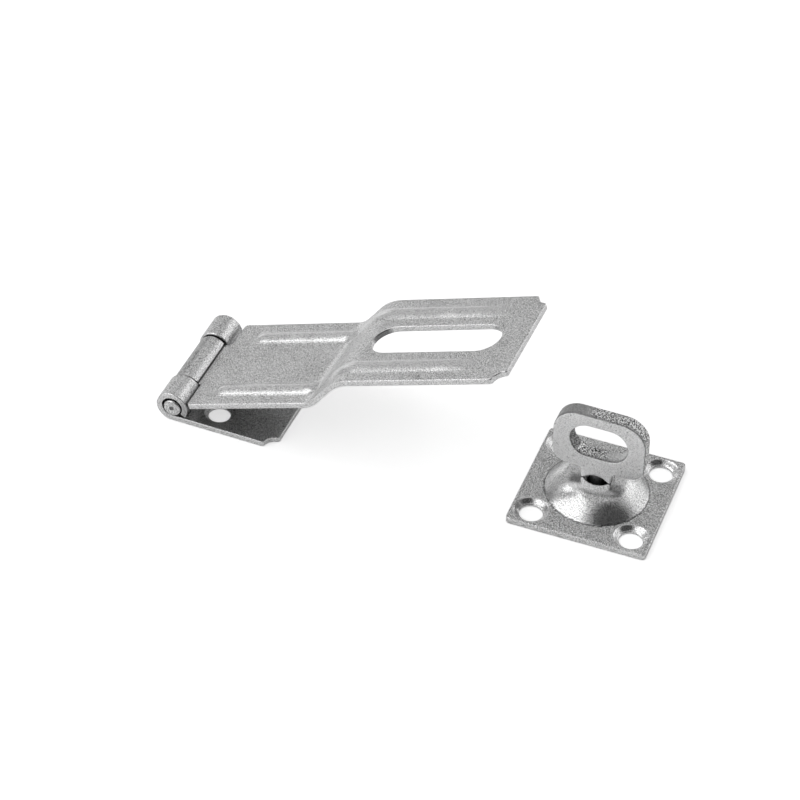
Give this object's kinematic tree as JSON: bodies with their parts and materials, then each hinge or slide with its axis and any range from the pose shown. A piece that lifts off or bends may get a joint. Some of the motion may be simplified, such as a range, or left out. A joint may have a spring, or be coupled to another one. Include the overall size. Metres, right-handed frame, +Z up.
{
  "type": "swivel hasp",
  "caption": "Hinged steel hasp with a slotted, stepped strap and a separate square plate whose domed centre carries a turning padlock eye.",
  "frame": {"origin": "midway between the two screw holes beside the hinge, on the mounting surface under the fixed leaf", "axes": "+X from the hinge towards the strap's free end, +Y along the hinge pin, +Z up from the mounting surface"},
  "size_m": [0.1455, 0.0414, 0.0491],
  "materials": {
    "leaf_zinc": "satin zinc plate",
    "pin_zinc": "turned and zinc plated",
    "strap_zinc": "satin zinc plate",
    "base_zinc": "satin zinc plate, burnished on the dome",
    "eye_zinc": "satin zinc plate with sheared edges",
    "washer_zinc": "zinc plate"
  },
  "bodies": {
    "fixed_parts": {"fixed_leaf": "leaf_zinc", "hinge_pin": "pin_zinc", "staple_base": "base_zinc"},
    "strap": {"hasp_strap": "strap_zinc"},
    "eye": {"swivel_eye": "eye_zinc", "washer": "washer_zinc"}
  },
  "joints": [
    {"name": "strap_hinge", "type": "hinge", "parent": "fixed_parts", "child": "strap", "pos_m": [-0.01165, 0, 0.00442], "axis": [0, -1, 0], "range_deg": [-20.3, 154.7]},
    {"name": "eye_swivel", "type": "hinge", "parent": "fixed_parts", "child": "eye", "pos_m": [0.10835, 0, 0.0075], "axis": [0, 0, 1], "continuous": true}
  ]
}
